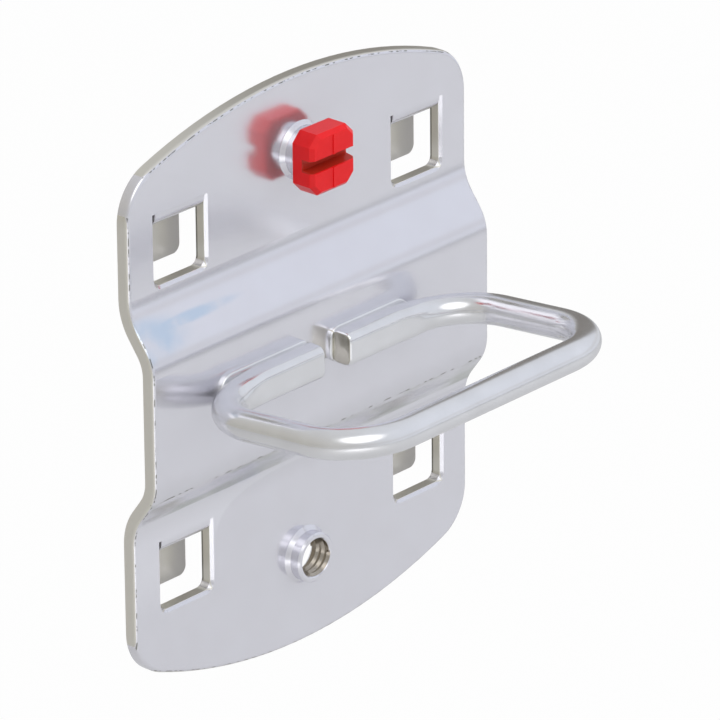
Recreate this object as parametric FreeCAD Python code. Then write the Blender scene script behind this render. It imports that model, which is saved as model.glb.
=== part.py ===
import FreeCAD, Part
import math
import os

from FreeCAD import Placement, Rotation, Vector

# Pegboard hook: a pressed steel back plate with four hooks, a wire loop
# welded across its raised band, and a plastic screw that locks it.
# Frame: +X to the right, -Y towards the user, +Z up. The origin is the
# middle of the four hooks, on the back face of the plate.

# Panel that the plate hooks into
hole_pitch = 38.0            # centre to centre of its square holes, both ways
hook_gap = 2.3               # room between the plate's back and a hook's leg

# Back plate, one pressed sheet
sheet = 1.5
window_side_web = 4.25       # from a window to the plate's side
plate_top = 32.8             # highest point of the top edge
plate_bottom = -34.4         # lowest point of the bottom edge
top_edge_radius = 68.0       # the top edge is one shallow arc
bottom_edge_radius = 66.0
plate_corner_radius = 6.0
rim_rounding = 0.45          # the front rim is rolled over by the press

# Raised band across the middle of the plate
band_rise = 3.34             # how far the band stands forward of the flanges
band_height = 12.3           # flat part, between the bends
band_centre = 0.4
band_slope = 36.4            # degrees between a sloping wall and the flanges
flange_bend_radius = 5.6     # inside radius where a wall leaves the flange
band_bend_radius = 3.8       # inside radius where it joins the band

# Windows, and the hooks bent back from their top edges
window_width = 7.9
window_top = 4.45            # above the middle of the panel's hole
window_bottom = -3.95
window_corner_radius = 1.0
window_rim_chamfer = 0.35    # front rims of the windows
hook_side_gap = 0.15         # each side, between the hook and its window
hook_bend_radius = 0.25      # inside radius of the hook's two bends
hook_leg = 5.55              # straight part that drops behind the panel
hook_corner_radius = 1.0

# Tapped collars drawn forward out of the flanges
collar_height = 24.0         # of their axes, above and below the origin
collar_length = 1.7          # in front of the flange
collar_radius = 2.9
collar_bore_radius = 2.15    # crests of the thread
collar_foot_chamfer = 0.45   # fairs the collar into the flange
collar_rim_chamfer = 0.2
collar_entry_chamfer = 0.6   # where the sheet turns into the collar, at the back

# Wire loop
wire_diameter = 3.5
loop_centre = -1.5           # the loop is welded slightly to the left
loop_width = 44.9            # over the outside of the side bars
loop_reach = 26.6            # from the band's face to the outside of the front bar
loop_corner_radius = 7.5     # of the wire's centre line
loop_tilt = 5.1              # degrees that the loop rises towards the user
leg_height = 1.7             # of the legs' centre line above the origin
leg_gap = 4.0                # between the ends of the two legs
leg_gap_centre = -1.15
leg_thickness = 3.0          # where the legs are pressed flat for welding
leg_tallness = 3.9
leg_corner_radius = 1.0
leg_run_out = 0.9            # from the flat section to the round wire
leg_clearance = 0.05         # between the round wire and the band's face
weld_lip_reach = 0.45        # metal squeezed out past the end of each leg
weld_lip_sides = 0.2         # and past its top and bottom
weld_lip_thickness = 0.4

# Locking screw
screw_clearance = 0.05       # radial, between the shank and the collar's bore
head_gap = 0.2               # between the head and the collar
head_width = 7.0
head_corner = 1.2            # flat cut off each corner of the square head
head_depth = 3.05
head_front_chamfer = 0.45
head_back_chamfer = 0.2
slot_depth = 1.45
slot_mouth = 1.5
slot_floor = 1.0
mould_line_width = 0.35      # raised line down the middle of the head
mould_line_height = 0.1
shank_reach = 1.0            # how far the tip stands out behind the plate
shank_tip_chamfer = 0.4

flange_face = -sheet
band_face = -sheet - band_rise
plate_width = hole_pitch + window_width + 2 * window_side_web
collar_face = flange_face - collar_length
hook_places = [
    (x, z) for x in (-hole_pitch / 2, hole_pitch / 2) for z in (-hole_pitch / 2, hole_pitch / 2)
]
past = 5.0                   # how far a cutting shape runs past what it cuts
same_place = 1e-6            # places closer than this are one place
faces_front = -0.5           # a face whose normal has less Y than this is a front face
along_x = Vector(1, 0, 0)
along_y = Vector(0, 1, 0)


def block(x_span, y_span, z_span):
    """Box between two limits on each axis."""
    corner = Vector(x_span[0], y_span[0], z_span[0])
    sizes = (x_span[1] - x_span[0], y_span[1] - y_span[0], z_span[1] - z_span[0])
    return Part.makeBox(*sizes, corner)


def turned(outline, z):
    """Solid of revolution about the line along Y at X = 0 and this height."""
    face = Part.Face(Part.Wire(outline))
    solid = face.revolve(Vector(), along_y, 360)
    return solid.translated(Vector(0, 0, z))


def lines(*points):
    """Edges that join points given as (X, Y), in order."""
    corners = [Vector(x, y, 0) for x, y in points]
    return [Part.makeLine(a, b) for a, b in zip(corners, corners[1:])]


def bent_sheet(start_height, steps):
    """Section of a bent sheet in the YZ plane, followed downwards from start_height.

    It starts flat against Y = 0, with its front on the -Y side. A step is
    ("flat", length) or ("bend", degrees, inside radius), and a positive bend turns
    to the back.
    """
    back = Vector(0, 0, start_height)
    along = Vector(0, 0, -1)
    to_front = Vector(0, -1, 0)
    edges = [Part.makeLine(back, back + to_front * sheet)]
    for kind, amount, *bend in steps:
        front = back + to_front * sheet
        if kind == "flat":
            new_back = back + along * amount
            new_front = front + along * amount
            edges.append(Part.makeLine(back, new_back))
            edges.append(Part.makeLine(front, new_front))
        else:
            inside_radius = bend[0]
            if amount > 0:
                centre = back - to_front * inside_radius
            else:
                centre = front + to_front * inside_radius
            half_turn = Rotation(along_x, amount / 2)
            full_turn = Rotation(along_x, amount)
            for face_start in (back, front):
                arm = face_start - centre
                middle = centre + half_turn.multVec(arm)
                end = centre + full_turn.multVec(arm)
                edges.append(Part.Arc(face_start, middle, end).toShape())
            new_back = centre + full_turn.multVec(back - centre)
            along = full_turn.multVec(along)
            to_front = full_turn.multVec(to_front)
        back = new_back
    edges.append(Part.makeLine(back, back + to_front * sheet))
    return Part.Face(Part.Wire(Part.__sortEdges__(edges)))


def extruded_across(face, width):
    """Solid of this width, centred on X = 0, from a face in the YZ plane."""
    return face.translated(Vector(-width / 2, 0, 0)).extrude(Vector(width, 0, 0))


def straight_edges(solid, direction, keep=lambda middle: True):
    """Straight edges along a direction whose middle passes the keep test."""
    found = []
    for edge in solid.Edges:
        run = edge.valueAt(edge.LastParameter) - edge.valueAt(edge.FirstParameter)
        parallel = abs(abs(run.dot(direction)) - run.Length) < same_place
        if edge.Curve.TypeId == "Part::GeomLine" and parallel and keep(edge.CenterOfMass):
            found.append(edge)
    return found


def level_edges(solid, y):
    """Edges that lie in the plane across Y at this place."""
    found = []
    for edge in solid.Edges:
        box = edge.BoundBox
        if abs(box.YMin - y) < same_place and abs(box.YMax - y) < same_place:
            found.append(edge)
    return found


def joggled_blank():
    """Long strip of sheet with the raised band pressed into it."""
    slope = math.radians(band_slope)
    bend_span = flange_bend_radius + band_bend_radius + sheet
    wall = (band_rise - bend_span * (1 - math.cos(slope))) / math.sin(slope)
    wall_height = bend_span * math.sin(slope) + wall * math.cos(slope)
    band_top = band_centre + band_height / 2
    band_bottom = band_centre - band_height / 2
    start = plate_top + past
    steps = [
        ("flat", start - band_top - wall_height),
        ("bend", -band_slope, flange_bend_radius),
        ("flat", wall),
        ("bend", band_slope, band_bend_radius),
        ("flat", band_height),
        ("bend", band_slope, band_bend_radius),
        ("flat", wall),
        ("bend", -band_slope, flange_bend_radius),
        ("flat", band_bottom - wall_height - plate_bottom + past),
    ]
    section = bent_sheet(start, steps)
    return extruded_across(section, plate_width + 2 * past)


def plate_outline():
    """Prism along Y with the plate's outline: straight sides, arched top and bottom."""
    back = past
    depth = past + sheet + band_rise + past
    sides = block(
        (-plate_width / 2, plate_width / 2),
        (back - depth, back),
        (plate_bottom - past, plate_top + past),
    )
    arches = (
        (plate_top - top_edge_radius, top_edge_radius),
        (plate_bottom + bottom_edge_radius, bottom_edge_radius),
    )
    for z, radius in arches:
        sides = sides.common(Part.makeCylinder(radius, depth, Vector(0, back, z), Vector(0, -1, 0)))
    return sides.makeFillet(plate_corner_radius, straight_edges(sides, along_y))


def window_cutter():
    """Window around the middle of one panel hole, with rounded lower corners."""
    half = window_width / 2
    cutter = block((-half, half), (flange_face - past, past), (window_bottom, window_top))
    lower = straight_edges(cutter, along_y, lambda middle: middle.z < 0)
    return cutter.makeFillet(window_corner_radius, lower)


def front_rims(plate):
    """Sharp edges where the front of the plate meets a cut face, without the hooks' roots."""
    root_heights = [z + window_top for x, z in hook_places]
    rims = []
    for edge in plate.Edges:
        middle = edge.CenterOfMass
        level = edge.BoundBox.ZLength < same_place
        if level and any(abs(middle.z - root) < same_place for root in root_heights):
            continue
        facings = []
        for face in plate.ancestorsOfType(edge, Part.Face):
            point = edge.valueAt((edge.FirstParameter + edge.LastParameter) / 2)
            facings.append(face.normalAt(*face.Surface.parameter(point)).y)
        if min(facings) < faces_front and max(facings) > -same_place:
            rims.append(edge)
    return rims


def hook():
    """Tab bent back from a window's top edge and down behind the panel."""
    steps = [
        ("bend", 90, hook_bend_radius),
        ("flat", hook_gap - 2 * hook_bend_radius),
        ("bend", -90, hook_bend_radius),
        ("flat", hook_leg),
    ]
    section = bent_sheet(window_top, steps)
    tab = extruded_across(section, window_width - 2 * hook_side_gap)
    lower = straight_edges(tab, along_y, lambda middle: middle.z < 0)
    return tab.makeFillet(hook_corner_radius, lower)


def collar_wall():
    """Outline of a collar's outside, with its foot faired into the flange."""
    foot = collar_radius + collar_foot_chamfer
    rim = collar_radius - collar_rim_chamfer
    inside = flange_face / 2
    return lines(
        (0, inside),
        (foot, inside),
        (foot, flange_face),
        (collar_radius, flange_face - collar_foot_chamfer),
        (collar_radius, collar_face + collar_rim_chamfer),
        (rim, collar_face),
        (0, collar_face),
        (0, inside),
    )


def collar_bore():
    """Outline of a collar's bore, opened out at the back and at the front."""
    entry = collar_bore_radius + collar_entry_chamfer
    rim = collar_bore_radius + collar_rim_chamfer
    return lines(
        (0, past),
        (entry, past),
        (entry, 0),
        (collar_bore_radius, -collar_entry_chamfer),
        (collar_bore_radius, collar_face + collar_rim_chamfer),
        (rim, collar_face),
        (rim, collar_face - past),
        (0, collar_face - past),
        (0, past),
    )


def back_plate():
    plate = joggled_blank().common(plate_outline())
    plate = plate.makeFillet(rim_rounding, front_rims(plate))
    for x, z in hook_places:
        plate = plate.cut(window_cutter().translated(Vector(x, 0, z)))
    plate = plate.makeChamfer(window_rim_chamfer, front_rims(plate))
    for x, z in hook_places:
        plate = plate.fuse(hook().translated(Vector(x, 0, z)))
    for z in (collar_height, -collar_height):
        plate = plate.fuse(turned(collar_wall(), z)).cut(turned(collar_bore(), z))
    return plate.removeSplitter()


def weld_lip(x_span):
    """Thin rim of metal squeezed out round one leg's foot, with x_span from gap to bend."""
    half = leg_tallness / 2 + weld_lip_sides
    front = band_face - weld_lip_thickness
    gap_end = x_span[0]
    lip = block(sorted(x_span), (front, band_face), (leg_height - half, leg_height + half))
    ends = straight_edges(lip, along_y, lambda middle: abs(middle.x - gap_end) < same_place)
    lip = lip.makeFillet(leg_corner_radius + weld_lip_reach, ends)
    return lip.makeChamfer(weld_lip_thickness / 2, level_edges(lip, front))


def leg(side):
    """Flattened leg on one side, its run-out into the round wire and its weld lip."""
    radius = wire_diameter / 2
    round_end = loop_centre + side * (loop_width / 2 - radius - loop_corner_radius)
    flat_end = round_end - side * leg_run_out
    gap_end = leg_gap_centre + side * leg_gap / 2
    flat = block(
        sorted((gap_end, flat_end)),
        (band_face - leg_thickness, band_face),
        (leg_height - leg_tallness / 2, leg_height + leg_tallness / 2),
    )
    flat = flat.makeFillet(leg_corner_radius, straight_edges(flat, along_x))
    outline = [face.OuterWire for face in flat.Faces if abs(face.CenterOfMass.x - flat_end) < same_place]
    centre = Vector(round_end, band_face - leg_clearance - radius, leg_height)
    outline.append(Part.Wire(Part.makeCircle(radius, centre, along_x)))
    run_out = Part.makeLoft(outline, True, True)
    return flat.fuse([run_out, weld_lip((gap_end - side * weld_lip_reach, flat_end))])


def wire_loop():
    radius = wire_diameter / 2
    axis_y = band_face - leg_clearance - radius
    bar_x = loop_width / 2 - radius
    straight_x = bar_x - loop_corner_radius
    front_bar_y = band_face - loop_reach + radius
    tilt = math.radians(loop_tilt)
    depth = (axis_y - front_bar_y) / math.cos(tilt)

    def on_loop(x, out):
        """Point of the tilted loop, this far out from the legs' centre line."""
        y = axis_y - out * math.cos(tilt)
        return Vector(loop_centre + x, y, leg_height + out * math.sin(tilt))

    def corner(start, end, centre):
        start, end, centre = (on_loop(*place) for place in (start, end, centre))
        outward = ((start + end) * 0.5 - centre).normalize()
        return Part.Arc(start, centre + outward * loop_corner_radius, end).toShape()

    near = loop_corner_radius
    far = depth - loop_corner_radius
    path = [
        corner((straight_x, 0), (bar_x, near), (straight_x, near)),
        Part.makeLine(on_loop(bar_x, near), on_loop(bar_x, far)),
        corner((bar_x, far), (straight_x, depth), (straight_x, far)),
        Part.makeLine(on_loop(straight_x, depth), on_loop(-straight_x, depth)),
        corner((-straight_x, depth), (-bar_x, far), (-straight_x, far)),
        Part.makeLine(on_loop(-bar_x, far), on_loop(-bar_x, near)),
        corner((-bar_x, near), (-straight_x, 0), (-straight_x, near)),
    ]
    section = Part.Face(Part.Wire(Part.makeCircle(radius)))
    inwards = on_loop(0, 1) - on_loop(0, 0)
    upright = Rotation(inwards, Vector(), along_x, "ZXY")
    section.Placement = Placement(on_loop(straight_x, 0), upright)
    loop = Part.Wire(path).makePipe(section)
    return loop.fuse([leg(1), leg(-1)]).removeSplitter()


def head_blank(half, corner, back, front):
    """Square prism with its corners cut off, between two planes across Y."""
    flat = half - corner
    outline = [
        (half, flat), (flat, half), (-flat, half), (-half, flat),
        (-half, -flat), (-flat, -half), (flat, -half), (half, -flat), (half, flat),
    ]
    face = Part.Face(Part.makePolygon([Vector(x, back, z) for x, z in outline]))
    return face.extrude(Vector(0, front - back, 0))


def locking_screw():
    head_back = collar_face - head_gap
    head_front = head_back - head_depth
    half = head_width / 2
    head = head_blank(half, head_corner, head_back, head_front)
    for rim_y, chamfer in ((head_front, head_front_chamfer), (head_back, head_back_chamfer)):
        head = head.makeChamfer(chamfer, level_edges(head, rim_y))
    line_reach = half - head_front_chamfer
    mould_line = block(
        (-mould_line_width / 2, mould_line_width / 2),
        (head_front - mould_line_height, head_front + mould_line_height),
        (-line_reach, line_reach),
    )
    head = head.fuse(mould_line)
    slot_outline = [
        (head_front - past, -slot_mouth / 2),
        (head_front, -slot_mouth / 2),
        (head_front + slot_depth, -slot_floor / 2),
        (head_front + slot_depth, slot_floor / 2),
        (head_front, slot_mouth / 2),
        (head_front - past, slot_mouth / 2),
        (head_front - past, -slot_mouth / 2),
    ]
    slot_end = Part.Face(Part.makePolygon([Vector(-head_width, y, z) for y, z in slot_outline]))
    slot = slot_end.extrude(Vector(2 * head_width, 0, 0))
    shank_radius = collar_bore_radius - screw_clearance
    tip_radius = shank_radius - shank_tip_chamfer
    inside_head = head_back - head_depth / 2
    shank = turned(lines(
        (0, inside_head),
        (shank_radius, inside_head),
        (shank_radius, shank_reach - shank_tip_chamfer),
        (tip_radius, shank_reach),
        (0, shank_reach),
        (0, inside_head),
    ), 0)
    screw = head.cut(slot).fuse(shank)
    return screw.removeSplitter().translated(Vector(0, 0, collar_height))


parts = {
    "back_plate": back_plate(),
    "wire_loop": wire_loop(),
    "locking_screw": locking_screw(),
}
os.makedirs("parts", exist_ok=True)
for name, shape in parts.items():
    solids = shape.Solids
    print(f"{name}: {len(solids)} solid, valid {shape.isValid()}, {shape.Volume:.1f} mm3")
    solids[0].exportStep(f"parts/{name}.step")
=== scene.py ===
import math

import bpy
from mathutils import Matrix, Vector


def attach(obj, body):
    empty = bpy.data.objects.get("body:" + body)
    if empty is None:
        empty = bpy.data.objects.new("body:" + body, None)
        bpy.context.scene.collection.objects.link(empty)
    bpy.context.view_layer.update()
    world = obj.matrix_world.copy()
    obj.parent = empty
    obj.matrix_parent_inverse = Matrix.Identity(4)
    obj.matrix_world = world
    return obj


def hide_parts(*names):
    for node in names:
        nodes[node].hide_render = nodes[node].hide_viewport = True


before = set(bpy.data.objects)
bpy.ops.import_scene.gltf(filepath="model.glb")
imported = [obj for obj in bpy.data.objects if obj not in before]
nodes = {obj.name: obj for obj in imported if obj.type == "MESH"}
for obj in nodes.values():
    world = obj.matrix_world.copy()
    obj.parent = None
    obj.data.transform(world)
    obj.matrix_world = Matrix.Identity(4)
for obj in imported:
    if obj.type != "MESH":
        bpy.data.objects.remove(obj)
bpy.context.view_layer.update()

print("frame loaded:", ", ".join(sorted(nodes)))

# Camera, fitted to the window middles and the plate's outline in the photo
cameraView = {
    "azimuth": 48.076,  # degrees, looking towards +X and +Y
    "elevation": 23.236,
    "roll": -0.509,
    "distance": 0.81406,
    "target": (0.01112, 0.00008, -0.0048),
    "lens": 368.194,
    "sensor": 36.0,
    "clip": (0.05, 50.0),
}


def addCamera(view):
    azimuth, elevation, roll = (math.radians(view[key]) for key in ("azimuth", "elevation", "roll"))
    forward = Vector((
        math.sin(azimuth) * math.cos(elevation),
        math.cos(azimuth) * math.cos(elevation),
        -math.sin(elevation),
    ))
    level = Vector((math.cos(azimuth), -math.sin(azimuth), 0.0))
    upright = level.cross(forward)
    right = level * math.cos(roll) + upright * math.sin(roll)
    up = upright * math.cos(roll) - level * math.sin(roll)
    turn = Matrix((right, up, -forward)).transposed().to_4x4()
    lensData = bpy.data.cameras.new("photoCamera")
    lensData.sensor_width = view["sensor"]
    lensData.lens = view["lens"]
    lensData.clip_start, lensData.clip_end = view["clip"]
    camera = bpy.data.objects.new("photoCamera", lensData)
    camera.matrix_world = Matrix.Translation(Vector(view["target"]) - forward * view["distance"]) @ turn
    bpy.context.scene.collection.objects.link(camera)
    bpy.context.scene.camera = camera


addCamera(cameraView)
bpy.context.scene.view_settings.view_transform = "Standard"
print("camera placed")

# Studio: one pale floor, soft panels and a sky that is cooler on the right
studio = {
    "floorHeight": -0.24,
    "floorSize": 2.4,
    "floorColour": (0.61, 0.61, 0.612, 1.0),
    "floorWhite": 0.97,  # share of plain white that the camera sees in the floor
    "skyTowards": (0.70, -0.60, 0.39),  # where the sky is brightest and coolest
    "skyDim": (0.54, 0.52, 0.46, 1.0),
    "skyBright": (0.80, 0.83, 0.90, 1.0),
    "horizonLeft": (0.50, 0.49, 0.45, 1.0),
    "horizonRight": (0.73, 0.74, 0.78, 1.0),
    "horizonMiddle": 0.07,  # upward share of the direction
    "horizonHalf": 0.13,
    "horizonCore": 0.045,
    "glowTowards": (-0.44, -0.51, 0.74),  # soft white glow over the left shoulder
    "glow": (1.9, 1.9, 1.9, 1.0),
    "glowEdge": (0.86, 0.975),
    "shadeTowards": (0.74, 0.62, 0.26),  # dark corner that draws the lines along the top of the wire
    "shade": (0.20, 0.185, 0.165, 1.0),
    "shadeEdge": (0.86, 0.97),
}
panels = {
    "keyPanel": {
        "place": (0.55, -0.50, 0.42), "size": 1.0, "power": 3.6,
        "tint": (0.97, 0.98, 1.0), "aim": (0, 0, 0),
    },
    "warmPanel": {
        "place": (-0.70, 0.20, 0.30), "size": 0.5, "power": 0.6,
        "tint": (1.0, 0.88, 0.66), "aim": (0, 0, 0),
    },
    "lowPanel": {  # lights the floor that the left rims mirror
        "place": (-0.42, -0.47, 0.0), "size": 0.3, "power": 1.5,
        "tint": (1.0, 1.0, 1.0), "aim": (-0.42, -0.47, -0.24),
    },
}


def newMaterial(name):
    material = bpy.data.materials.new(name)
    material.use_nodes = True
    tree = material.node_tree
    tree.nodes.clear()
    return material, tree


def addNode(tree, kind, **values):
    node = tree.nodes.new(kind)
    for key, value in values.items():
        if key in node.inputs:
            node.inputs[key].default_value = value
        else:
            setattr(node, key, value)
    return node


def colourSocket(sockets, name):
    return next(socket for socket in sockets if socket.name == name and socket.type == "RGBA")


def maths(tree, operation, first, second=None):
    node = tree.nodes.new("ShaderNodeMath")
    node.operation = operation
    for socket, value in zip(node.inputs, (first, second)):
        if isinstance(value, bpy.types.NodeSocket):
            tree.links.new(value, socket)
        elif value is not None:
            socket.default_value = value
    return node.outputs[0]


def distanceFrom(tree, place, middle, along=(1, 1, 1)):
    away = addNode(tree, "ShaderNodeVectorMath", operation="SUBTRACT")
    away.inputs[1].default_value = middle
    weighted = addNode(tree, "ShaderNodeVectorMath", operation="MULTIPLY")
    weighted.inputs[1].default_value = along
    length = addNode(tree, "ShaderNodeVectorMath", operation="LENGTH")
    tree.links.new(place, away.inputs[0])
    tree.links.new(away.outputs[0], weighted.inputs[0])
    tree.links.new(weighted.outputs[0], length.inputs[0])
    return length.outputs["Value"]


def layered(tree, share, under, over):
    mix = addNode(tree, "ShaderNodeMix", data_type="RGBA")
    tree.links.new(share, mix.inputs["Factor"])
    for name, value in (("A", under), ("B", over)):
        socket = colourSocket(mix.inputs, name)
        if isinstance(value, bpy.types.NodeSocket):
            tree.links.new(value, socket)
        else:
            socket.default_value = value
    return colourSocket(mix.outputs, "Result")


def near(tree, value, span):
    node = maths(tree, "COMPARE", value, span[0]).node
    node.inputs[2].default_value = span[1]
    return node.outputs[0]


def most(tree, values):
    highest = values[0]
    for value in values[1:]:
        highest = maths(tree, "MAXIMUM", highest, value)
    return highest


def both(tree, *values):
    product = values[0]
    for value in values[1:]:
        product = maths(tree, "MULTIPLY", product, value)
    return product


def ramp(tree, value, span, steps="SMOOTHSTEP"):
    node = addNode(tree, "ShaderNodeMapRange", interpolation_type=steps)
    node.inputs["From Min"].default_value = span[0]
    node.inputs["From Max"].default_value = span[1]
    tree.links.new(value, node.inputs["Value"])
    return node.outputs["Result"]


def noise(tree, place, scale, detail):
    node = addNode(tree, "ShaderNodeTexNoise", Scale=scale, Detail=detail)
    tree.links.new(place, node.inputs["Vector"])
    return node.outputs["Fac"]


def objectPlace(tree):
    place = addNode(tree, "ShaderNodeTexCoord").outputs["Object"]
    split = addNode(tree, "ShaderNodeSeparateXYZ")
    tree.links.new(place, split.inputs[0])
    return place, split.outputs["X"], split.outputs["Y"], split.outputs["Z"]


def roughSpan(tree, value, finish):
    node = addNode(tree, "ShaderNodeMapRange")
    node.inputs["To Min"].default_value = finish["roughLow"]
    node.inputs["To Max"].default_value = finish["roughHigh"]
    tree.links.new(value, node.inputs["Value"])
    return node.outputs["Result"]


def addGrain(tree, place, shader, finish):
    bump = addNode(tree, "ShaderNodeBump", Strength=finish["grainBump"], Distance=finish["grainDepth"])
    grain = noise(tree, place, finish["grainScale"], finish["grainDetail"])
    tree.links.new(grain, bump.inputs["Height"])
    tree.links.new(bump.outputs["Normal"], shader.inputs["Normal"])
    output = addNode(tree, "ShaderNodeOutputMaterial")
    tree.links.new(shader.outputs[0], output.inputs["Surface"])


def addFloor():
    bpy.ops.object.select_all(action="DESELECT")
    bpy.ops.mesh.primitive_plane_add(size=studio["floorSize"], location=(0, 0, studio["floorHeight"]))
    floor = bpy.context.object
    floor.name = "studioFloor"
    bpy.ops.object.transform_apply(location=True, rotation=False, scale=False)
    material, tree = newMaterial("studioFloorPaint")
    paint = addNode(tree, "ShaderNodeBsdfDiffuse", Color=studio["floorColour"])
    white = addNode(tree, "ShaderNodeEmission", Color=(1, 1, 1, 1), Strength=1.0)
    seen = addNode(tree, "ShaderNodeLightPath").outputs["Is Camera Ray"]
    mix = addNode(tree, "ShaderNodeMixShader")
    output = addNode(tree, "ShaderNodeOutputMaterial")
    tree.links.new(maths(tree, "MULTIPLY", seen, studio["floorWhite"]), mix.inputs[0])
    tree.links.new(paint.outputs[0], mix.inputs[1])
    tree.links.new(white.outputs[0], mix.inputs[2])
    tree.links.new(mix.outputs[0], output.inputs["Surface"])
    floor.data.materials.append(material)


def towards(tree, direction, middle):
    node = addNode(tree, "ShaderNodeVectorMath", operation="DOT_PRODUCT")
    node.inputs[1].default_value = middle
    tree.links.new(direction, node.inputs[0])
    return node.outputs["Value"]


def skyColour(tree, sizes):
    direction = addNode(tree, "ShaderNodeTexCoord").outputs["Generated"]
    split = addNode(tree, "ShaderNodeSeparateXYZ")
    tree.links.new(direction, split.inputs[0])
    share = ramp(tree, towards(tree, direction, sizes["skyTowards"]), (-1.0, 1.0), "LINEAR")
    height = maths(tree, "SUBTRACT", split.outputs["Z"], sizes["horizonMiddle"])
    above = ramp(tree, maths(tree, "ABSOLUTE", height), (sizes["horizonCore"], sizes["horizonHalf"]))
    horizon = layered(tree, share, sizes["horizonLeft"], sizes["horizonRight"])
    colour = layered(tree, above, horizon, layered(tree, share, sizes["skyDim"], sizes["skyBright"]))
    for name in ("shade", "glow"):
        spot = ramp(tree, towards(tree, direction, sizes[name + "Towards"]), sizes[name + "Edge"])
        colour = layered(tree, spot, colour, sizes[name])
    return colour


def addSky():
    world = bpy.data.worlds.new("studioSky")
    bpy.context.scene.world = world
    world.use_nodes = True
    tree = world.node_tree
    tree.nodes.clear()
    sky = addNode(tree, "ShaderNodeBackground", Strength=1.0)
    white = addNode(tree, "ShaderNodeBackground", Color=(1, 1, 1, 1), Strength=1.0)
    seen = addNode(tree, "ShaderNodeLightPath").outputs["Is Camera Ray"]
    mix = addNode(tree, "ShaderNodeMixShader")
    output = addNode(tree, "ShaderNodeOutputWorld")
    tree.links.new(skyColour(tree, studio), sky.inputs["Color"])
    tree.links.new(seen, mix.inputs[0])
    tree.links.new(sky.outputs[0], mix.inputs[1])
    tree.links.new(white.outputs[0], mix.inputs[2])
    tree.links.new(mix.outputs[0], output.inputs["Surface"])


def addPanel(name, panel):
    lamp = bpy.data.lights.new(name, "AREA")
    lamp.shape = "SQUARE"
    lamp.size = panel["size"]
    lamp.energy = panel["power"]
    lamp.color = panel["tint"]
    holder = bpy.data.objects.new(name, lamp)
    place = Vector(panel["place"])
    away = place - Vector(panel["aim"])
    holder.matrix_world = Matrix.Translation(place) @ away.to_track_quat("Z", "Y").to_matrix().to_4x4()
    holder.visible_glossy = False
    bpy.context.scene.collection.objects.link(holder)


addFloor()
addSky()
for panelName, panelValues in panels.items():
    addPanel(panelName, panelValues)
print("studio lit")

# Finishes
zincSheet = {
    "colourLow": (0.725, 0.718, 0.76, 1.0),
    "colourHigh": (0.765, 0.762, 0.815, 1.0),
    "cutToneAndShadeColour": (0.69, 0.67, 0.615, 1.0),  # sheared faces, window walls and the hooks behind them: duller sheared steel, with a painted warm reflection and painted shade inside the windows
    # painted shade inside the collars' bores
    "boreShadeColour": (0.30, 0.26, 0.21, 1.0),
    "blueColour": (0.56, 0.65, 0.77, 1.0),  # thin blue patches on the upper slope
    "bloomColour": (0.80, 0.797, 0.845, 1.0),  # paler zinc beside the lower joggle
    "slopeStainAndReflectionColour": (0.56, 0.575, 0.56, 1.0),  # stains on the lower slope, darkened further by a painted reflection of the shaded floor below
    "shadeLineColour": (0.24, 0.235, 0.21, 1.0),  # painted shade: dark lines along a bend and the side edges, broken into specks
    "metallic": 0.83,
    "roughLow": 0.15,
    "roughHigh": 0.22,
    "cutRough": 0.34,
    "cloudScale": 60.0,
    "cloudDetail": 3.0,
    "mottleScale": 260.0,
    "mottleDetail": 4.0,
    "stainDetail": 5.0,
    "speckScale": 1500.0,
    "speckDetail": 3.0,
    "grainScale": 900.0,
    "grainDetail": 2.0,
    "grainBump": 0.02,
    "grainDepth": 0.0002,
    "stretch": (0.3, 1.0, 1.0),  # stains run along X, as the sheet was rolled
    "sideFrom": 0.02706,  # past this the plate's side is its cut edge
    "archMiddles": ((0, 0, -0.0352), (0, 0, 0.0316)),
    "archFrom": (0.06786, 0.06586),
    "edgeLine": (-0.00009, 0.00005),  # middle and half width, from where the cut edge starts
    "backFrom": 0.0002,
    "windowPlace": 0.019,
    "windowHalf": (0.00399, 0.00424),
    "windowMiddles": (0.01925, -0.01875),
    "hookHalf": 0.00387,  # past this is the window's wall, not the hook's bend
    "sill": (-0.00424, 0.00014),  # middle and half height, from the window's middle
    "slope": (-0.0098, 0.0016),  # lower slope in Z
    "slopeStains": (0.45, 0.62),
    "slopeLine": (-0.00815, 0.00009),
    "speckFrom": (-0.0012, -0.0040),  # in Y, of the edge lines and of the line along the bend
    "specks": (0.50, 0.56),
    "bloomMiddle": (-0.0006, -0.0190),  # X and Z of the rounded corner that bounds the paler zinc
    "bloomReach": (0.0140, 0.0069),
    "bloomPower": 2.8,
    "bloomFade": (0.96, 1.06),
    "bloomFoot": (-0.0230, -0.0175),  # fades out in Z beside the window
    "wallLine": (-0.0001, 0.00012),  # painted shade along the back edge of a window's wall, in Y
    "borePlaces": ((0, 0, 0.024), (0, 0, -0.024)),
    "boreRadius": 0.0022,
    "bluePlaces": ((-0.0272, -0.0029, 0.0102), (-0.0205, -0.0020, 0.0110)),
    "blueReaches": ((0.0085, 0.0045, 0.0030), (0.0110, 0.0030, 0.0008)),
    "blueFade": (1.0, 0.45),
    "blueFlecks": (0.22, 0.60),
}
zincWire = {
    "colourLow": (0.70, 0.70, 0.715, 1.0),
    "colourHigh": (0.84, 0.845, 0.87, 1.0),
    "endToneAndReflectionColour": (0.52, 0.50, 0.44, 1.0),  # sheared ends of the legs: duller sheared steel, with a painted darker, warm reflection
    "endPlaces": (0.00085, -0.00315),  # in X
    "endHalf": 0.00006,
    "endFrom": -0.009,  # behind this in Y
    "metallic": 0.88,
    "roughLow": 0.13,
    "roughHigh": 0.24,
    "cloudScale": 320.0,
    "cloudDetail": 4.0,
    "grainScale": 1400.0,
    "grainDetail": 2.0,
    "grainBump": 0.03,
    "grainDepth": 0.0002,
}
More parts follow.
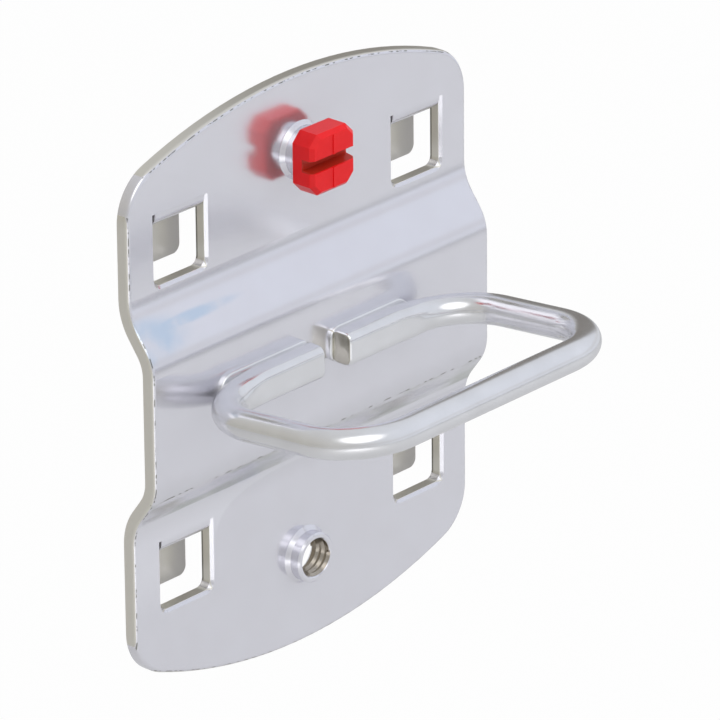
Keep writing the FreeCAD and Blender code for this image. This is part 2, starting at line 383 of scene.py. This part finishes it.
zincThread = {
    # dark brown: painted shade of the bore that the thread stands in
    "colourLow": (0.34, 0.30, 0.25, 1.0),
    "colourHigh": (0.52, 0.48, 0.42, 1.0),
    "metallic": 0.83,
    "roughLow": 0.12,
    "roughHigh": 0.25,
    "cloudScale": 300.0,
    "cloudDetail": 4.0,
    "grainScale": 1400.0,
    "grainDetail": 2.0,
    "grainBump": 0.03,
    "grainDepth": 0.0002,
}
redPlastic = {
    "colourLow": (0.68, 0.008, 0.011, 1.0),
    "colourHigh": (0.76, 0.012, 0.015, 1.0),
    # painted shade in the slot
    "slotShadeColour": (0.40, 0.022, 0.010, 1.0),
    "slot": (0.024, 0.00072),  # middle and half height in Z
    "slotFrom": -0.00640,  # in front of this is the head's face
    "slotTo": -0.0049,  # behind this the screw has no slot
    "glowShare": 0.35,  # share of light that spreads inside
    "glowReach": (1.0, 0.12, 0.08),
    "glowDepth": 0.0015,
    "roughness": 0.32,
    "sheen": 0.22,
    "grainScale": 1500.0,
    "grainDetail": 2.0,
    "grainBump": 0.02,
    "grainDepth": 0.0002,
}


def finishWith(node, material):
    nodes[node].material_slots[0].material = material


def platedSteel(name, finish):
    material, tree = newMaterial(name)
    place, alongX, alongY, _ = objectPlace(tree)
    cloud = noise(tree, place, finish["cloudScale"], finish["cloudDetail"])
    colour = layered(tree, cloud, finish["colourLow"], finish["colourHigh"])
    if "endPlaces" in finish:
        # the sheared leg ends are duller, with a painted darker, warm reflection
        ends = most(tree, [near(tree, alongX, (end, finish["endHalf"])) for end in finish["endPlaces"]])
        sheared = both(tree, ends, maths(tree, "GREATER_THAN", alongY, finish["endFrom"]))
        colour = layered(tree, sheared, colour, finish["endToneAndReflectionColour"])
    metal = addNode(tree, "ShaderNodeBsdfPrincipled", Metallic=finish["metallic"])
    tree.links.new(colour, metal.inputs["Base Color"])
    tree.links.new(roughSpan(tree, cloud, finish), metal.inputs["Roughness"])
    addGrain(tree, place, metal, finish)
    return material


def cutFaces(tree, finish, place, across, alongY, alongZ):
    fromWindow = maths(tree, "ABSOLUTE", maths(tree, "SUBTRACT", across, finish["windowPlace"]))
    heights = [maths(tree, "SUBTRACT", alongZ, middle) for middle in finish["windowMiddles"]]
    fromMiddle = maths(tree, "MINIMUM", *[maths(tree, "ABSOLUTE", height) for height in heights])
    inWindow = both(
        tree,
        maths(tree, "LESS_THAN", fromWindow, finish["windowHalf"][0]),
        maths(tree, "LESS_THAN", fromMiddle, finish["windowHalf"][1]),
    )
    wall = maths(tree, "GREATER_THAN", fromWindow, finish["hookHalf"])
    sills = [near(tree, height, finish["sill"]) for height in heights]
    arches = [
        maths(tree, "GREATER_THAN", distanceFrom(tree, place, middle, (1, 0, 1)), reach)
        for middle, reach in zip(finish["archMiddles"], finish["archFrom"])
    ]
    faces = most(tree, [
        maths(tree, "GREATER_THAN", across, finish["sideFrom"]),
        maths(tree, "GREATER_THAN", alongY, finish["backFrom"]),
        both(tree, inWindow, most(tree, [wall, *sills])),
        *arches,
    ])
    return faces, both(tree, inWindow, wall, near(tree, alongY, finish["wallLine"]))


# Painted shade: dark lines along the front rims and the lower bend, broken into specks
def specks(tree, finish, place, across, alongY, alongZ):
    middle, half = finish["edgeLine"]
    edges = [near(tree, across, (finish["sideFrom"] + middle, half))]
    for centre, reach in zip(finish["archMiddles"], finish["archFrom"]):
        edges.append(near(tree, distanceFrom(tree, place, centre, (1, 0, 1)), (reach + middle, half)))
    inFront = [maths(tree, "LESS_THAN", alongY, limit) for limit in finish["speckFrom"]]
    edge = both(tree, most(tree, edges), inFront[0])
    bend = both(tree, near(tree, alongZ, finish["slopeLine"]), inFront[1])
    fleck = noise(tree, place, finish["speckScale"], finish["speckDetail"])
    return both(tree, most(tree, [edge, bend]), ramp(tree, fleck, finish["specks"]))


def bloom(tree, finish, alongX, alongY, alongZ):
    middleX, middleZ = finish["bloomMiddle"]
    reachX, reachZ = finish["bloomReach"]
    shares = [
        maths(tree, "MULTIPLY", maths(tree, "SUBTRACT", alongX, middleX), -1 / reachX),
        maths(tree, "MULTIPLY", maths(tree, "SUBTRACT", alongZ, middleZ), 1 / reachZ),
    ]
    bounded = [maths(tree, "MAXIMUM", share, 0.0) for share in shares]
    powers = [maths(tree, "POWER", share, finish["bloomPower"]) for share in bounded]
    outside = both(
        tree,
        ramp(tree, maths(tree, "ADD", *powers), finish["bloomFade"]),
        ramp(tree, alongZ, finish["bloomFoot"]),
    )
    belowSlope = maths(tree, "LESS_THAN", alongZ, finish["slope"][0] - finish["slope"][1])
    return both(tree, outside, belowSlope, maths(tree, "LESS_THAN", alongY, finish["speckFrom"][0]))


def pressedSheet(name, finish):
    material, tree = newMaterial(name)
    place, alongX, alongY, alongZ = objectPlace(tree)
    across = maths(tree, "ABSOLUTE", alongX)
    stretched = addNode(tree, "ShaderNodeVectorMath", operation="MULTIPLY")
    stretched.inputs[1].default_value = finish["stretch"]
    tree.links.new(place, stretched.inputs[0])
    mottle = noise(tree, place, finish["mottleScale"], finish["mottleDetail"])
    stain = noise(tree, stretched.outputs[0], finish["mottleScale"], finish["stainDetail"])
    blues = []
    for middle, reach in zip(finish["bluePlaces"], finish["blueReaches"]):
        away = distanceFrom(tree, place, middle, [1 / length for length in reach])
        blues.append(ramp(tree, away, finish["blueFade"]))
    blue = both(tree, most(tree, blues), ramp(tree, mottle, finish["blueFlecks"]))
    # stains on the lower slope, with a painted darker reflection of the floor below
    slope = both(tree, near(tree, alongZ, finish["slope"]), ramp(tree, stain, finish["slopeStains"]))
    # Painted shade: the collars' bores are darkened
    bores = [distanceFrom(tree, place, middle, (1, 0, 1)) for middle in finish["borePlaces"]]
    bore = maths(tree, "LESS_THAN", maths(tree, "MINIMUM", *bores), finish["boreRadius"])
    cut, wallLine = cutFaces(tree, finish, place, across, alongY, alongZ)
    # painted shade lines along the rims, the bend and the window walls
    dark = most(tree, [specks(tree, finish, place, across, alongY, alongZ), wallLine])
    colour = layered(tree, mottle, finish["colourLow"], finish["colourHigh"])
    colour = layered(tree, bloom(tree, finish, alongX, alongY, alongZ), colour, finish["bloomColour"])
    colour = layered(tree, slope, colour, finish["slopeStainAndReflectionColour"])
    colour = layered(tree, blue, colour, finish["blueColour"])
    # cut faces: duller steel, with a painted warm reflection and painted shade inside the windows
    colour = layered(tree, cut, colour, finish["cutToneAndShadeColour"])
    colour = layered(tree, dark, colour, finish["shadeLineColour"])
    colour = layered(tree, bore, colour, finish["boreShadeColour"])
    cloud = noise(tree, place, finish["cloudScale"], finish["cloudDetail"])
    rough = addNode(tree, "ShaderNodeMix", data_type="FLOAT")
    rough.inputs[3].default_value = finish["cutRough"]
    tree.links.new(cut, rough.inputs[0])
    tree.links.new(roughSpan(tree, cloud, finish), rough.inputs[2])
    metal = addNode(tree, "ShaderNodeBsdfPrincipled", Metallic=finish["metallic"])
    tree.links.new(colour, metal.inputs["Base Color"])
    tree.links.new(rough.outputs[0], metal.inputs["Roughness"])
    addGrain(tree, place, metal, finish)
    return material


def mouldedPlastic(name, finish):
    material, tree = newMaterial(name)
    place, _, alongY, alongZ = objectPlace(tree)
    # Painted shade: the slot is darkened between slotFrom and slotTo
    slot = both(
        tree,
        near(tree, alongZ, finish["slot"]),
        maths(tree, "GREATER_THAN", alongY, finish["slotFrom"]),
        maths(tree, "LESS_THAN", alongY, finish["slotTo"]),
    )
    grain = noise(tree, place, finish["grainScale"], finish["grainDetail"])
    colour = layered(tree, grain, finish["colourLow"], finish["colourHigh"])
    colour = layered(tree, slot, colour, finish["slotShadeColour"])
    plastic = addNode(tree, "ShaderNodeBsdfPrincipled", Roughness=finish["roughness"])
    plastic.inputs["Specular IOR Level"].default_value = finish["sheen"]
    plastic.inputs["Subsurface Weight"].default_value = finish["glowShare"]
    plastic.inputs["Subsurface Radius"].default_value = finish["glowReach"]
    plastic.inputs["Subsurface Scale"].default_value = finish["glowDepth"]
    tree.links.new(colour, plastic.inputs["Base Color"])
    addGrain(tree, place, plastic, finish)
    return material


sheetFinish = pressedSheet("zincSheetFinish", zincSheet)
wireFinish = platedSteel("zincWireFinish", zincWire)
threadFinish = platedSteel("zincThreadFinish", zincThread)
plasticFinish = mouldedPlastic("redPlasticFinish", redPlastic)
finishWith("back_plate", sheetFinish)
finishWith("wire_loop", wireFinish)
finishWith("locking_screw", plasticFinish)
print("finishes set")


# Helpers for modelling
samePlace = 1e-6  # vertices closer than this are in one place


def pick(piece, test):
    bpy.ops.mesh.select_mode(type="VERT")
    bpy.ops.mesh.select_all(action="DESELECT")
    bpy.ops.object.mode_set(mode="OBJECT")
    for vertex in piece.data.vertices:
        vertex.select = test(vertex.co)
    bpy.ops.object.mode_set(mode="EDIT")


def pickedPlaces(piece):
    bpy.ops.object.mode_set(mode="OBJECT")
    places = [vertex.co.copy() for vertex in piece.data.vertices if vertex.select]
    bpy.ops.object.mode_set(mode="EDIT")
    return places


def closeAndSmooth(angle):
    bpy.ops.mesh.select_all(action="SELECT")
    bpy.ops.mesh.normals_make_consistent(inside=False)
    bpy.ops.object.mode_set(mode="OBJECT")
    bpy.ops.object.shade_smooth_by_angle(angle=math.radians(angle))


# Bent wire of the loop: flattened legs that swell into the round wire through the bends
bentWire = {
    "middle": -0.0015,
    "legEnd": 0.00235,  # from the loop's middle, on the right
    "leftLegShift": 0.0007,  # the left leg reaches further towards the middle
    "legPlace": (-0.00634, 0.0017),  # Y and Z of the flat leg's middle
    "legSection": (0.0030, 0.0039),  # thickness along Y, height along Z
    "legRound": 0.0010,
    "cornerSteps": 8,
    "flatCuts": 6,
    "endRound": 0.00036,
    "endSteps": 3,
    "swellStart": 0.0108,
    "swellSteps": ((0.0008, 0.05), (0.0008, 0.14), (0.0008, 0.26)),  # length, share of roundness
    "bendShares": (0.34, 0.43, 0.52, 0.61, 0.70, 0.78, 0.85, 0.91, 0.96, 1.0),
    "swellShift": -0.0003,  # of the wire's middle, towards the user
    "wireRadius": 0.00175,
    "bendRadius": 0.0075,
    "bendSteps": 30,
    "sideRun": 0.0081416,
    "tilt": 5.1,
    "mergeWithin": 1e-5,
    "smooth": 75,
}


def meanRadius(piece):
    places = pickedPlaces(piece)
    middle = sum(places, Vector()) / len(places)
    return sum((place - middle).length for place in places) / len(places)


def swellRing(piece, shares, radii):
    before, after = shares
    bpy.ops.transform.tosphere(value=(after - before) / (1 - before))
    wanted = radii[0] + (radii[1] - radii[0]) * after
    bpy.ops.transform.resize(value=(wanted / meanRadius(piece),) * 3)


def makeLegSection(sizes):
    legY, legZ = sizes["legPlace"]
    bpy.ops.object.select_all(action="DESELECT")
    bpy.ops.mesh.primitive_plane_add(
        size=1.0, location=(sizes["legEnd"], legY, legZ), rotation=(0, math.pi / 2, 0))
    wire = bpy.context.object
    wire.name = "bentWire"
    bpy.ops.object.transform_apply(location=True, rotation=True, scale=True)
    bpy.ops.object.mode_set(mode="EDIT")
    bpy.ops.mesh.select_all(action="SELECT")
    bpy.ops.transform.resize(value=(1.0, *sizes["legSection"]))
    corners = sizes["cornerSteps"]
    bpy.ops.mesh.bevel(
        offset=sizes["legRound"], offset_type="OFFSET", segments=corners, affect="VERTICES")
    bpy.ops.mesh.delete(type="ONLY_FACE")
    half = [side / 2 - sizes["legRound"] for side in sizes["legSection"]]
    pick(wire, lambda at: (
        abs(abs(at.y - legY) - half[0]) < samePlace or abs(abs(at.z - legZ) - half[1]) < samePlace))
    bpy.ops.mesh.subdivide(number_cuts=sizes["flatCuts"])
    bpy.ops.mesh.select_all(action="SELECT")
    return wire


def drawHalfLoop(wire, sizes):
    tilt = math.radians(sizes["tilt"])
    outward = Vector((0, -math.cos(tilt), math.sin(tilt)))
    spinAxis = (0, math.sin(tilt), math.cos(tilt))
    legY, legZ = sizes["legPlace"]
    radii = (meanRadius(wire), sizes["wireRadius"])
    reach = sizes["swellStart"] - sizes["legEnd"]
    bpy.ops.mesh.extrude_region_move(TRANSFORM_OT_translate={"value": (reach, 0, 0)})
    share = 0.0
    bendStart = sizes["swellStart"]
    shiftEach = sizes["swellShift"] / len(sizes["swellSteps"])
    for length, nextShare in sizes["swellSteps"]:
        bpy.ops.mesh.extrude_region_move(TRANSFORM_OT_translate={"value": (length, shiftEach, 0)})
        swellRing(wire, (share, nextShare), radii)
        share = nextShare
        bendStart += length
    axisStart = Vector((bendStart, legY + sizes["swellShift"], legZ))
    bendAt = axisStart + outward * sizes["bendRadius"]
    step = math.pi / 2 / sizes["bendSteps"]
    for nextShare in sizes["bendShares"]:
        bpy.ops.mesh.spin(steps=1, angle=step, center=bendAt, axis=spinAxis)
        swellRing(wire, (share, nextShare), radii)
        share = nextShare
    left = sizes["bendSteps"] - len(sizes["bendShares"])
    bpy.ops.mesh.spin(steps=left, angle=step * left, center=bendAt, axis=spinAxis)
    bpy.ops.mesh.extrude_region_move(TRANSFORM_OT_translate={"value": outward * sizes["sideRun"]})
    bendAt = bendAt + outward * sizes["sideRun"]
    bpy.ops.mesh.spin(steps=sizes["bendSteps"], angle=math.pi / 2, center=bendAt, axis=spinAxis)
    bpy.ops.mesh.extrude_region_move(TRANSFORM_OT_translate={"value": (-bendStart, 0, 0)})


def makeBentWire(sizes):
    wire = makeLegSection(sizes)
    drawHalfLoop(wire, sizes)
    legFront = sizes["legPlace"][0] - sizes["legSection"][0]
    legReach = sizes["legEnd"] + sizes["endRound"] + samePlace
    bpy.ops.object.mode_set(mode="OBJECT")
    mirror = wire.modifiers.new("otherHalf", "MIRROR")
    mirror.merge_threshold = sizes["mergeWithin"]
    bpy.ops.object.modifier_apply(modifier=mirror.name)
    bpy.ops.object.mode_set(mode="EDIT")
    for side in (1, -1):
        pick(wire, lambda at: abs(at.x - side * sizes["legEnd"]) < samePlace and at.y > legFront)
        bpy.ops.mesh.edge_face_add()
        bpy.ops.mesh.bevel(
            offset=sizes["endRound"], offset_type="OFFSET", segments=sizes["endSteps"], affect="EDGES")
    pick(wire, lambda at: -legReach < at.x < 0 and at.y > legFront)
    bpy.ops.transform.translate(value=(sizes["leftLegShift"], 0, 0))
    bpy.ops.mesh.select_all(action="SELECT")
    bpy.ops.transform.translate(value=(sizes["middle"], 0, 0))
    closeAndSmooth(sizes["smooth"])
    wire.data.materials.append(wireFinish)
    return wire


# Metal squeezed out of the welds
weldBead = {
    "ends": ((0.0004, 0.0134), (-0.0027, -0.0172)),  # along X from the gap outwards, right and left
    "depth": 0.00045,
    "height": 0.0043,
    "place": (-0.00484, 0.0017),
    "gapRound": 0.00145,
    "farRound": 0.0021,
    "cornerSteps": 8,
    "round": 0.0002,
    "roundSteps": 3,
    "smooth": 40,
}


def makeWeldBead(name, ends, sizes):
    faceY, middleZ = sizes["place"]
    length = abs(ends[1] - ends[0])
    bpy.ops.object.select_all(action="DESELECT")
    bpy.ops.mesh.primitive_plane_add(
        size=1.0, location=(sum(ends) / 2, faceY, middleZ), rotation=(math.pi / 2, 0, 0))
    bead = bpy.context.object
    bead.name = name
    bpy.ops.object.transform_apply(location=True, rotation=True, scale=False)
    bpy.ops.object.mode_set(mode="EDIT")
    bpy.ops.mesh.select_all(action="SELECT")
    bpy.ops.transform.resize(value=(length, 1.0, sizes["height"]))
    corners = sizes["cornerSteps"]
    for end, radius in zip(ends, (sizes["gapRound"], sizes["farRound"])):
        pick(bead, lambda at: abs(at.x - end) < samePlace)
        bpy.ops.mesh.bevel(offset=radius, offset_type="OFFSET", segments=corners, affect="VERTICES")
    bpy.ops.mesh.select_all(action="SELECT")
    bpy.ops.mesh.extrude_region_move(TRANSFORM_OT_translate={"value": (0, -sizes["depth"], 0)})
    bpy.ops.mesh.bevel(
        offset=sizes["round"], offset_type="OFFSET", segments=sizes["roundSteps"], affect="EDGES")
    closeAndSmooth(sizes["smooth"])
    bead.data.materials.append(wireFinish)
    return bead


loopPieces = [makeBentWire(bentWire)]
for number, ends in enumerate(weldBead["ends"]):
    loopPieces.append(makeWeldBead("weldBead" + str(number + 1), ends, weldBead))
for piece in loopPieces:
    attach(piece, "plate")
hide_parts("wire_loop")
print("wire loop made")

# Threads: the tapped bore of the lower collar and the screw's tip
boreThread = {
    "turns": 3,
    "pitch": 0.0008,
    "start": -0.0030,
    "height": -0.024,
    "base": 0.00217,  # radius of the wall that the ridge stands on
    "crest": 0.00188,
    "width": 0.00062,
    "stepsPerTurn": 64,
    "mergeWithin": 1e-7,
    "smooth": 30,
}
tipThread = {
    "turns": 1,
    "pitch": 0.0008,
    "start": -0.0002,
    "height": 0.024,
    "base": 0.00205,
    "crest": 0.00238,
    "width": 0.0006,
    "stepsPerTurn": 64,
    "mergeWithin": 1e-7,
    "smooth": 30,
}


def makeThread(name, sizes):
    outwards = math.copysign(1.0, sizes["crest"] - sizes["base"])
    bpy.ops.object.select_all(action="DESELECT")
    bpy.ops.mesh.primitive_circle_add(
        vertices=3, radius=1.0, location=(0, 0, 0), rotation=(0, 0, -outwards * math.pi / 2))
    ridge = bpy.context.object
    ridge.name = name
    bpy.ops.object.transform_apply(location=False, rotation=True, scale=False)
    bpy.ops.object.mode_set(mode="EDIT")
    bpy.ops.mesh.select_all(action="SELECT")
    tall = abs(sizes["crest"] - sizes["base"]) / 1.5  # the triangle of radius 1 is 1.5 tall
    wide = sizes["width"] / math.sqrt(3)
    bpy.ops.transform.resize(value=(tall, wide, 1.0), center_override=(0, 0, 0))
    bpy.ops.transform.translate(value=(sizes["base"] + outwards * tall / 2, sizes["start"], 0))
    bpy.ops.object.mode_set(mode="OBJECT")
    turns = ridge.modifiers.new("turns", "SCREW")
    turns.axis = "Y"
    turns.angle = math.tau
    turns.iterations = sizes["turns"]
    turns.screw_offset = sizes["pitch"]
    turns.steps = sizes["stepsPerTurn"]
    turns.render_steps = sizes["stepsPerTurn"]
    bpy.ops.object.modifier_apply(modifier=turns.name)
    bpy.ops.object.mode_set(mode="EDIT")
    bpy.ops.mesh.select_all(action="SELECT")
    bpy.ops.mesh.remove_doubles(threshold=sizes["mergeWithin"])
    bpy.ops.mesh.select_mode(type="EDGE")
    bpy.ops.mesh.select_all(action="DESELECT")
    bpy.ops.mesh.select_non_manifold(extend=False)
    bpy.ops.mesh.edge_face_add()
    bpy.ops.mesh.select_all(action="SELECT")
    bpy.ops.transform.translate(value=(0, 0, sizes["height"]))
    closeAndSmooth(sizes["smooth"])
    return ridge


boreRidge = makeThread("boreThread", boreThread)
boreRidge.data.materials.append(threadFinish)
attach(boreRidge, "plate")
tipRidge = makeThread("tipThread", tipThread)
tipRidge.data.materials.append(plasticFinish)
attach(tipRidge, "screw")
print("threads made")
